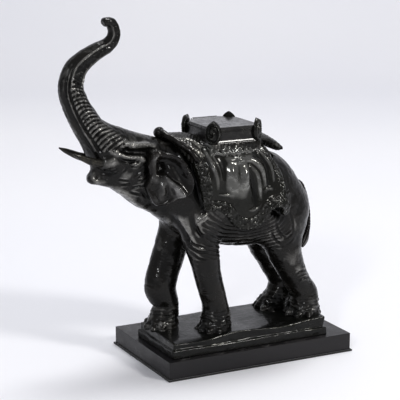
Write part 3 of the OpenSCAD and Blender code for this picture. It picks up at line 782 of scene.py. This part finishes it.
def ear(side, node):
    clay = Clay([-105, -50, 144], [-59, -12, 201], 0.6)
    x, y, z = clay.mesh()
    out = ear_surface(x, z)
    leaf = (np.abs(y + out) - ear_thick / 2) * 0.8
    # The root is thick and reaches into the head
    root = smooth_max(np.abs(y + out - 7) - 8, x + 93, 3)
    clay.field[...] = smooth_max(smooth_min(leaf, root, 4), inside(ear_edge, x, z), 1.4)
    points, normals, quads = clay.skin()
    height = 0.22 * lumps(points, 5, 21) + 0.12 * lumps(points, 2.2, 22)
    height += drawn(crease, ear_creases, points[:, 0], points[:, 2])
    points = points + normals * height[:, None]
    # Wear and a painted highlight where the ear stands out furthest, painted shade where it lies deeper
    mark = 0.16 + 0.1 * (-points[:, 1] - ear_spread(points[:, 0])) + 0.3 * height
    if side > 0:
        points = points * [1, -1, 1]
        quads = quads[:, ::-1]
    cast(node, points, quads, mark, "ear_iron")


ear(-1, "left_ear")
ear(1, "right_ear")


# --- Rods: tusks, tail and the roll round the neck, as x, y, z and radius ---

tusk_st = [
    [-121, -9.5, 187, 2.6], [-130, -12, 186.4, 3.5], [-137, -13, 186.8, 3.7],
    [-144, -14, 188.6, 3.4], [-151, -14.8, 191.6, 2.8], [-157, -15.5, 194.4, 2],
    [-162, -16, 197, 0.6]
]
tail_st = [
    [52, 0, 151, 2.6], [60, -0.5, 149, 2.8], [65.2, -2, 139, 2.2], [68, -3, 126, 1.9],
    [68.4, -4, 114, 1.9], [66.8, -5, 106, 2.3], [64, -5.7, 99, 2.8], [61.6, -6.2, 94, 2.2],
    [60.4, -6.5, 91, 0.6]
]
roll_st = [
    [-56, -33, 184, 2.2], [-58, -31, 187, 2.9], [-62.5, -27, 193, 3], [-69, -18, 199.5, 3],
    [-74, -9, 203.4, 3.1], [-76.5, -3, 205, 3.8], [-77.6, 0, 205.6, 4.8], [-76.5, 3.5, 205, 4.2],
    [-75, 8, 203.2, 3.1], [-69, 18, 199.5, 3], [-62.5, 27, 193, 3], [-58, 31, 187, 2.9],
    [-56, 33, 184, 2.2]
]


def rod(node, stations, count, sides, iron, detail):
    """A closed tube through the stations; detail gives its heights."""
    line = curve_through(stations, count)
    ahead = np.gradient(line[:, :3], axis=0)
    ahead /= np.linalg.norm(ahead, axis=1)[:, None]
    across = np.cross(ahead, [0, 0.3, 1])
    across /= np.linalg.norm(across, axis=1)[:, None]
    up = np.cross(across, ahead)
    turn = np.linspace(0, 2 * math.pi, sides, endpoint=False)
    ring = across[:, None] * np.cos(turn)[:, None] + up[:, None] * np.sin(turn)[:, None]
    points = (line[:, None, :3] + ring * line[:, None, 3:]).reshape(-1, 3)
    part = np.repeat(np.linspace(0, 1, count), sides)
    height = detail(points, part, np.tile(turn, count))
    points = points + ring.reshape(-1, 3) * height[:, None]
    points = np.vstack([points, points[:sides].mean(0), points[-sides:].mean(0)])
    # High spots of the detail get wear and a painted highlight, low ones painted shade
    mark = np.append(0.5 + 0.8 * height, [0.5, 0.5])
    face_outwards(cast(node, points, tube_faces(count, sides), mark, iron).data)


def tusk_grain(p, part, turn):
    return 0.12 * np.sin(3 * turn + 9 * part) * (1 - part) + 0.08 * lumps(p, 4, 31)


def tail_grain(p, part, turn):
    tuft = steps(part, 0.6, 0.75)
    strands = np.abs(np.sin(3.5 * turn + 5 * part))
    hoops = 0.12 * np.sin(part * 190) * (1 - tuft)
    return tuft * (0.9 * strands - 0.3) + hoops + 0.15 * lumps(p, 3, 32)


def roll_grain(p, part, turn):
    return 0.14 * np.sin(turn * 2 + part * 60) + 0.12 * lumps(p, 3, 71)


rod("left_tusk", tusk_st, 60, 24, "tusk_iron", tusk_grain)
rod("right_tusk", mirrored(tusk_st), 60, 24, "tusk_iron", tusk_grain)
rod("tail", tail_st, 140, 28, "ear_iron", tail_grain)
rod("neck_roll", roll_st, 160, 28, "ear_iron", roll_grain)


# --- Saddlery ---

cloth_t = 2.6
rug_t = 2.2
# The padding under the box, which fills the cloth out at its sides
padding_st = [[-43, 0, 170, 15, 35, 31], [-18, 0, 169, 15, 36.5, 32], [5, 0, 165, 15, 34, 31]]
cloth_edge = [
    (-60.5, 206), (-60.5, 186), (-57.8, 171), (-55, 158), (-53.3, 147), (-52.5, 143), (-48, 141.8),
    (-43.6, 142), (-38, 140.4), (-33.1, 137), (-29, 131.5), (-25.4, 127), (-21, 123.8), (-15.7, 122.2),
    (-10, 121.8), (-5, 123), (-1, 126.5), (3, 131.8), (7.5, 138.6), (12.5, 141), (16.8, 140), (19.8, 136.5),
    (21.8, 131.5), (25, 131), (27.6, 134.5), (27.6, 141), (26.6, 149), (26.4, 158), (24.6, 168), (20.6, 178),
    (15.4, 188), (9, 206)
]
# Leafy borders: the pitch of the leaves, half the width and a middle line
borders = [
    (3, 4.3, (-55.6, 198), (-54.8, 184), (-52.4, 171.5), (-50.4, 160), (-48.8, 150)),
    (3.4, 4.9, (-50, 146.5), (-43.6, 145.6), (-32.5, 141.4), (-24, 131.8), (-14.3, 127.6), (-4.4, 130.4),
     (2.2, 138), (8.5, 144), (17, 144.4), (22.6, 140), (24.6, 133.5)),
    (3.4, 2.8, (8.5, 190), (13.6, 181.5), (18.6, 171), (22, 160), (22.6, 150))
]
cloth_folds = [
    (5, 3.2, (-29, 182), (-28.6, 171), (-26, 157)),
    (4.4, 3.4, (-16, 181), (-16.2, 171), (-18.5, 154)),
    (1.2, -0.9, (-22.2, 178), (-21.6, 169), (-22, 160)),
    (4, -1, (-37, 187), (-35, 178), (-35, 166)),
    (1.8, -2.2, (-12.6, 179), (-10.4, 168), (-8, 156), (-7.5, 144)),
    (1.7, 2.6, (-14, 182.5), (-8, 182), (-2.6, 178), (1.8, 172), (3.4, 160)),
    (1.6, 1.7, (-10.5, 176.5), (-6.6, 173.5), (-3.2, 167.5), (-2, 150)),
    (1.9, -1.8, (-5, 188), (4, 181), (7, 172), (6.6, 156)),
    (1.3, 1.9, (0, 191), (8.6, 180), (12.2, 171), (12.6, 163)),
    (1.4, 2.2, (-48.6, 192), (-46.6, 184), (-43.8, 176), (-42, 169), (-41.6, 161)),
    (1.2, 1, (-45, 194), (-42, 184), (-39, 176), (-38, 164)),
    (0.8, 1.3, (-41.2, 155.7), (-34, 154.6), (-27.9, 154.3)),
    (0.7, 1, (-40, 148.4), (-33.4, 147.6)), (1, 1.6, (3, 155.2), (6, 156.6), (10.4, 156.2)),
    (1, 1.3, (-13, 139.6), (-8, 140), (-4, 142.6)),
    (1.6, 1, (-38, 187), (-28, 183.6), (-20, 184), (-10, 185), (0, 187))
]
knot_at = (-19.8, 182.6)
rosette_at = (-20.2, 191.2)
strip_ends = (-46, 9)
strip_low = 186.8


def leafy(run, side, pitch):
    """A running leaf pattern: slanted leaves to both sides of a stem."""
    bend = 0.9 * np.abs(side) + 0.9 * np.sin(2 * math.pi * run / (2.7 * pitch) + 1.3 * side)
    leaf = np.sin(2 * math.pi * (run + bend) / pitch)
    stem = hill(side, 0.9 * np.sin(2 * math.pi * run / (3.1 * pitch)), 0.6)
    return 0.6 * leaf * (1 - stem) + 0.5 * stem


def border_height(x, z, line, pitch, half):
    run, side, length = along(line, x, z)
    on = (1 - steps(np.abs(side), half - 0.8, half + 0.4)) * fade_ends(run + 1, length + 2, 1.5)
    rim = hill(np.abs(side), half - 0.8, 0.7)
    return on * (0.6 + 0.8 * leafy(run, side, pitch)) + 0.3 * rim * on


def flower(x, z, middle, radius, petals=0, wave=0):
    """A round boss, with petals where the wave isn't 0."""
    turn = np.arctan2(z - middle[1], x - middle[0])
    boss = hill(x, middle[0], radius) * hill(z, middle[1], radius)
    return boss * (1 - wave + wave * np.cos(petals * turn))


def strip_height(p, x, z):
    """The relief strip under the box: scalloped edge, curling leaves and a rosette."""
    scallop = strip_low + 1.3 * np.abs(np.sin(math.pi * (x + 20) / 13))
    first, last = strip_ends
    on = steps(z, scallop - 0.5, scallop + 0.4) * between(x, first, first + 2, last - 2, last)
    cord = hill(z - scallop, 0.9, 0.6)
    curl = np.sin(1.15 * x + 1.5 * np.sin(0.9 * z) + 1.6 * lumps(p, 4, 50))
    rosette = 2.4 * flower(x, z, rosette_at, 2.6, 6, 0.4) - flower(x, z, rosette_at, 0.8)
    return on, on * (0.9 + 0.7 * cord + 0.75 * curl + 0.4 * lumps(p, 1.6, 51) + rosette)


def cloth_detail(p):
    """Heights of the cloth's relief, and the part of them that gets wear and painted highlight."""
    x, y, z = p.T
    bands = np.zeros(len(p))
    for pitch, half, *line in borders:
        bands = np.maximum(bands, border_height(x, z, line, pitch, half))
    height = drawn(stroke, cloth_folds, x, z, fade=0.45)
    height = height * (1 - 0.8 * steps(bands, 0.05, 0.4)) + bands
    on, strip = strip_height(p, x, z)
    height = height * (1 - on) + strip
    height += 2.8 * flower(x, z, knot_at, 3.2, 5, 0.3)
    height += bands * 0.55 * lumps(p, 1.4, 53) + 0.15 * lumps(p, 8, 54) + 0.04 * lumps(p, 2, 55)
    # The borders stand up but don't get wear and painted highlight all over
    return height, height - 0.8 * np.minimum(bands, 0.9)


def saddle_cloth():
    clay = Clay([-66, -50, 114], [36, 50, 208])
    clay.add_chain(torso_st, 1)
    body = clay.field.copy()
    clay.add_chain(padding_st, 6)
    outer = clay.field.copy()
    clay.field = body
    for stations in leg_sts:
        clay.add_chain(stations[:2], leg_soft)
    x, y, z = clay.mesh()
    edge = inside(cloth_edge, x, z)
    flare = steps(-z, -152, -140) * (0.8 + 2.0 * np.exp(edge / 3.5))
    corner = 3.5 * hill(x, 18, 8) * hill(z, 142, 6)
    point = 2.0 * hill(x, -12, 12) * hill(z, 126, 7)
    shell = smooth_max(outer - (cloth_t + flare + corner + point), edge, 1.6)
    shell = np.maximum(shell, z - howdah_low[2] + 1)
    clay.field = np.maximum(shell, -(clay.field + 1.2)).astype(np.float32)
    points, normals, quads = clay.skin()
    outwards = np.sign(points[:, 1]) * normals[:, 1] + 0.5 * normals[:, 2]
    shown = steps(outwards, -0.1, 0.35)
    height, wear_and_highlight_height = cloth_detail(points)
    points = points + normals * (height * shown)[:, None]
    cast("saddle_cloth", points, quads, relief_of(wear_and_highlight_height * shown, points), "cloth_iron")


rug_side = [
    (-71, 12), (-63, 24), (-56, 30.5), (-50, 31.5), (-45, 30), (-41, 28), (-34, 27), (2, 27), (9, 25),
    (13, 18)
]
rug_edge = [(-75, 0)] + [(x, -y) for x, y in rug_side] + rug_side[::-1]
rear_flap_st = [
    [1, 0, 193.6, 6, 24, 3.8], [9, 0, 196.2, 5, 23, 3.8], [17, 0, 194.6, 5, 21.5, 4],
    [26, 0, 189.4, 4, 20.5, 4], [31, 0, 186.2, 2.8, 20, 3.4]
]
pad_strokes = [
    (2, 1.7, (-66, -20), (-50, -27), (-44, -30)), (2, 1.7, (-60, -12), (-48, -22), (-42, -29))
]
seat_half_l = 25
seat_half_w = 28.4
seat_h = 9


def saddle_pad():
    clay = Clay([-82, -40, 168], [40, 40, 206])
    clay.add_chain(torso_st, 1)
    clay.add_chain(head_st, neck_soft)
    skin = clay.field.copy()
    x, y, z = clay.mesh()
    shell = smooth_max(skin - cloth_t - rug_t, inside(rug_edge, x, y), 1.5)
    seat_top = howdah_low[2] - 0.1
    seat = smooth_max(np.abs(x - box_mid_x) - seat_half_l, np.abs(y) - seat_half_w, 6)
    seat = smooth_max(smooth_max(seat, z - seat_top, 1.2), seat_top - seat_h - z, 1.5)
    clay.field = smooth_min(shell, seat, 4).astype(np.float32)
    clay.add_chain(rear_flap_st, 3)
    clay.field = np.maximum(clay.field, -(skin - 0.6))
    points, normals, quads = clay.skin()
    px, py, pz = points.T
    across = waves(px + 0.6 * np.abs(py) + 0.8 * lumps(points, 9, 61), 3)
    over = waves(px - 0.9 * np.abs(py) + 0.8 * lumps(points, 8, 62), 3.4)
    height = 0.45 * across + 0.35 * over + 0.5 * lumps(points, 9, 63) + 0.25 * lumps(points, 2.5, 64)
    height += drawn(stroke, pad_strokes, px, -np.abs(py))
    height *= pz > 180
    points = points + normals * height[:, None]
    cast("saddle_pad", points, quads, relief_of(height, points), "pad_iron")


# --- Howdah ---

box_half_l = (howdah_high[0] - howdah_low[0]) / 2
box_half_w = seam_y - howdah_low[1]
box_mid_x = (howdah_low[0] + howdah_high[0]) / 2
box_cut = 5.5
# Heights above the foot and outward growth of each moulding, closed back to the wall
bead = [(9.3, -0.3), (9.4, 0.35), (9.9, 0.7), (10.5, 0.7), (10.9, 0.2), (11, -0.3)]
flared_foot = [(2.9, -0.3), (2.4, 0.15), (1.4, 0.55), (0.5, 1.1), (0.05, 1.3), (0.02, -0.3)]


def box_ring(grow):
    """The box's outline with cut corners, going round, about the box's own middle."""
    length, width = box_half_l + grow, box_half_w + grow
    corner = [(length, width - box_cut), (length - box_cut, width)]
    half = corner + [(-x, y) for x, y in corner[::-1]]
    return half + [(-x, -y) for x, y in half]


def howdah_box():
    """The box of the CAD with a bead under its rim and a flared foot."""
    shape = bmesh.new()
    shape.from_mesh(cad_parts["howdah_box"].data)
    for profile in (bead, flared_foot):
        rings = []
        for z, grow in profile:
            level = (howdah_low[2] + z) * MM
            ring = []
            for x, y in box_ring(grow):
                ring.append(shape.verts.new(((box_mid_x + x) * MM, (seam_y + y) * MM, level)))
            rings.append(ring)
        for a, b in zip(rings, rings[1:] + rings[:1]):
            for k in range(len(a)):
                n = (k + 1) % len(a)
                shape.faces.new([a[k], b[k], b[n], a[n]])
    bmesh.ops.recalc_face_normals(shape, faces=shape.faces)
    mesh = bpy.data.meshes.new("howdah_box")
    shape.to_mesh(mesh)
    shape.free()
    piece = add_piece("howdah_box", mesh, "howdah_iron")
    bevel_edges(piece, 0.0003, 2)


def finish_node(name, material, bevel=0):
    """A CAD node that stays, with its material and softened edges."""
    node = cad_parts[name]
    node.data.materials.clear()
    node.data.materials.append(material)
    if bevel:
        # The CAD mesh is split at its sharp edges, so they are joined to be rounded
        weld = node.modifiers.new("join", "WELD")
        weld.merge_threshold = 0.01 * MM
        bevel_edges(node, bevel, 3)


howdah_box()
finish_node("howdah_lid", patinas["howdah_iron"], 0.0007)
saddle_cloth()
saddle_pad()


# --- Corner ornaments ---

ornament_half_w = 7.1
ornament_half_h = 9.8
ornament_tip = 0.7
ornament_mid_z = howdah_low[2] + 9.2
ornament_rings = 26
ornament_turns = 84
# Where the moat lies between the rim and the leaves, as a share of the radius
ornament_moat = 0.72


def ornament(node, sx, sy, seed, drop=0):
    """An oval boss with a beaded rim, a slight point and leaves, lowered by the drop."""
    r = np.linspace(0, 1, ornament_rings)[1:, None]
    t = np.linspace(0, 2 * math.pi, ornament_turns, endpoint=False)[None, :]
    u = r * np.cos(t) * ornament_half_w
    v = r * np.sin(t) * ornament_half_h + ornament_tip * r ** 6 * hill(t, math.pi / 2, 0.28)
    dome = 2.4 * np.sqrt(np.clip(1 - r ** 2 * 0.85, 0, 1)) + 1.6
    rim = (1.2 + 0.35 * np.cos(30 * t)) * hill(r, 0.87, 0.07)
    moat = hill(r, ornament_moat, 0.07)
    inner = np.clip(1 - r / ornament_moat, 0, 1) ** 0.4
    scroll = 0.9 * np.sin(2 * t + 9 * r + seed) * np.sin(math.pi * np.clip(r / ornament_moat, 0, 1))
    flat = np.stack([u.ravel(), v.ravel(), np.zeros(u.size)], 1)
    leaves = 1.3 * lumps(flat + 7 * seed, 2.2, 80 + seed).reshape(u.shape) * inner
    relief = rim - moat + scroll + leaves
    w = (dome + relief) * (1 - r ** 14) + 0.1
    # Local width, height and depth: the domed front ring by ring, the back's ring, both middles
    front = np.stack([u.ravel(), v.ravel(), w.ravel()], 1)
    back = np.stack([0.97 * u[-1], 0.97 * v[-1], np.zeros(ornament_turns)], 1)
    local = np.vstack([front, back, [[0, 0, w[0].mean()], [0, 0, 0]]])
    faces = tube_faces(ornament_rings, ornament_turns)
    right = np.array([-sy, sx, 0]) / math.sqrt(2)
    face = np.array([sx, sy, 0]) / math.sqrt(2)
    corner = np.array([box_mid_x + sx * (box_half_l - box_cut / 2), sy * (box_half_w - box_cut / 2),
                       ornament_mid_z - drop])
    points = corner + local[:, :1] * right + local[:, 1:2] * [0, 0, 1] + local[:, 2:] * face
    # The relief's high spots get wear and a painted highlight; its low spots and the back get painted shade
    mark = np.full(len(local), 0.3)
    mark[:len(front)] = 0.42 + 0.25 * relief.ravel()
    face_outwards(cast(node, points, faces, mark, "cloth_iron").data)


ornament("front_left_ornament", -1, -1, 1)
ornament("front_right_ornament", -1, 1, 2, 1)
ornament("rear_left_ornament", 1, -1, 3)
ornament("rear_right_ornament", 1, 1, 4, 1.6)


# --- Ground, plinth and fasteners ---

step_h = 7
front_h = 13.5
rear_h = 16.5


def cast_ground():
    """A low step and a block with a wavy top that climbs to the rear."""
    low = ground_low - Vector((0, seam_y, 0))
    high = ground_high - Vector((-1.6, seam_y, 0))
    clay = Clay(low - Vector((3, 3, 2)), high + Vector((3, 3, 4)))
    x, y, z = clay.mesh()
    mid = (low + high) / 2
    half = (high - low) / 2

    def block(inset, top, soft):
        long_sides = np.abs(x - mid[0]) - half[0] + inset
        sides = smooth_max(long_sides, np.abs(y - mid[1]) - half[1] + inset, soft)
        return smooth_max(smooth_max(sides, z - top, soft), low[2] - z, 0.4)

    climb = (x - low[0]) / (high[0] - low[0])
    top = low[2] + front_h + (rear_h - front_h) * climb + 0.4 * np.sin(x / 13) * np.sin(y / 11 + 1)
    near = hill(y, low[1], 6)
    top = top + near * (1.1 * np.sin((x + 40) / 15) - 0.9)
    wall_wave = 0.5 * np.sin(x / 11 + z / 3) + 0.4 * np.sin(y / 9)
    lower = block(0.2, low[2] + step_h + 0.3 * np.sin(x / 17), 0.8)
    upper = block(1.8 + wall_wave, top, 0.9)
    clay.field = np.minimum(lower, upper).astype(np.float32)
    points, normals, quads = clay.skin()
    flat = np.abs(normals[:, 2])
    height = (1 - 0.6 * flat) * (0.35 * lumps(points, 9, 91) + 0.14 * lumps(points, 4, 92))
    height += 0.06 * lumps(points, 1.8, 93) + 0.4 * lumps(points, 24, 94) * flat
    height *= steps(points[:, 2], low[2] + 0.5, low[2] + 3)
    # The edges of the two tops get wear and a painted highlight
    wear_and_highlight = steps(np.minimum(flat, 1 - flat), 0.12, 0.4)
    points = points + normals * height[:, None]
    mark = 0.3 + 0.5 * wear_and_highlight + 0.3 * height
    cast("cast_ground", points, quads, mark, "ground_iron")


cast_ground()
finish_node("plinth", black_lacquer(), 0.0006)
finish_node("base_pad", black_felt(), 0.0004)
for fastener in ("plinth_screws", "foot_screws", "body_screws", "howdah_screws", "ear_pins", "hinge_pin"):
    finish_node(fastener, steel)


# --- Camera, floor and light ---

view_azimuth = math.radians(-27.01)
view_elevation = math.radians(12.71)
view_distance = 1.2703
aim = Vector((-0.0126, 0.0390, 0.1302))
back = Vector((math.sin(view_azimuth) * math.cos(view_elevation),
               -math.cos(view_azimuth) * math.cos(view_elevation), math.sin(view_elevation)))
camera = new_object("camera", bpy.data.cameras.new("camera"))
camera.data.lens = 126
camera.data.sensor_width = 36
camera.data.clip_end = 50
camera.location = aim + back * view_distance
camera.rotation_euler = (-back).to_track_quat("-Z", "Y").to_euler()
scene.camera = camera


def paper():
    paint = Paint("paper")
    return paint.finished({
        "Base Color": paint.tint(paint.noise(1.2, 2, 0.4), (0.78, 0.785, 0.82), (0.82, 0.82, 0.84)),
        "Roughness": 0.8
    })


paper_half_w = 4.0
floor_front = -3.0
floor_back = 1.6
paper_bend = 0.8
bend_parts = 12
wall_h = 3.5


def backdrop():
    """A sheet of paper: a floor that curves up behind the object, in metres."""
    profile = [(floor_front, 0)]
    for i in range(bend_parts + 1):
        angle = math.pi / 2 * i / bend_parts
        profile.append((floor_back + paper_bend * math.sin(angle), paper_bend * (1 - math.cos(angle))))
    profile.append((floor_back + paper_bend, wall_h))
    points, faces = [], []
    away = -Vector((back.x, back.y, 0)).normalized()
    side = Vector((away.y, -away.x, 0))
    for reach, z in profile:
        for s in (-paper_half_w, paper_half_w):
            points.append(away * reach + side * s + Vector((0, 0, z)))
    for i in range(0, len(points) - 2, 2):
        faces.append((i, i + 1, i + 3, i + 2))
    mesh = mesh_of("backdrop", points, faces)
    mesh.materials.append(paper())
    sheet = new_object("backdrop", mesh)


def soft_light(name, place, target, width, height, power, colour=(1, 1, 1)):
    light = bpy.data.lights.new(name, "AREA")
    light.shape = "RECTANGLE"
    light.size, light.size_y = width, height
    light.energy = power
    light.color = colour
    lamp = new_object(name, light)
    lamp.location = place
    lamp.rotation_euler = (Vector(target) - Vector(place)).to_track_quat("-Z", "Y").to_euler()


backdrop()
middle = (0, 0, 0.15)
soft_light("overhead", (0.3, 0.25, 2.3), middle, 0.7, 0.7, 24)
soft_light("key_right", (1.3, -2.2, 1.7), middle, 0.4, 0.5, 38, (1, 0.98, 0.95))
soft_light("fill_left", (-2.2, -2.2, 1.7), middle, 0.26, 0.6, 24, (0.97, 0.98, 1))
soft_light("backdrop_wash", (0.4, 0.8, 2.4), (1.09, 2.14, 0.7), 1.4, 0.5, 7)

room_colour = (0.95, 0.955, 1)
room_light = 0.45
world = bpy.data.worlds.new("room")
world.use_nodes = True
background = world.node_tree.nodes["Background"].inputs
background["Color"].default_value = (*room_colour, 1)
background["Strength"].default_value = room_light
scene.world = world
# Plain colours, with the middle tones a little darker
scene.view_settings.view_transform = "Standard"
scene.view_settings.gamma = 0.87
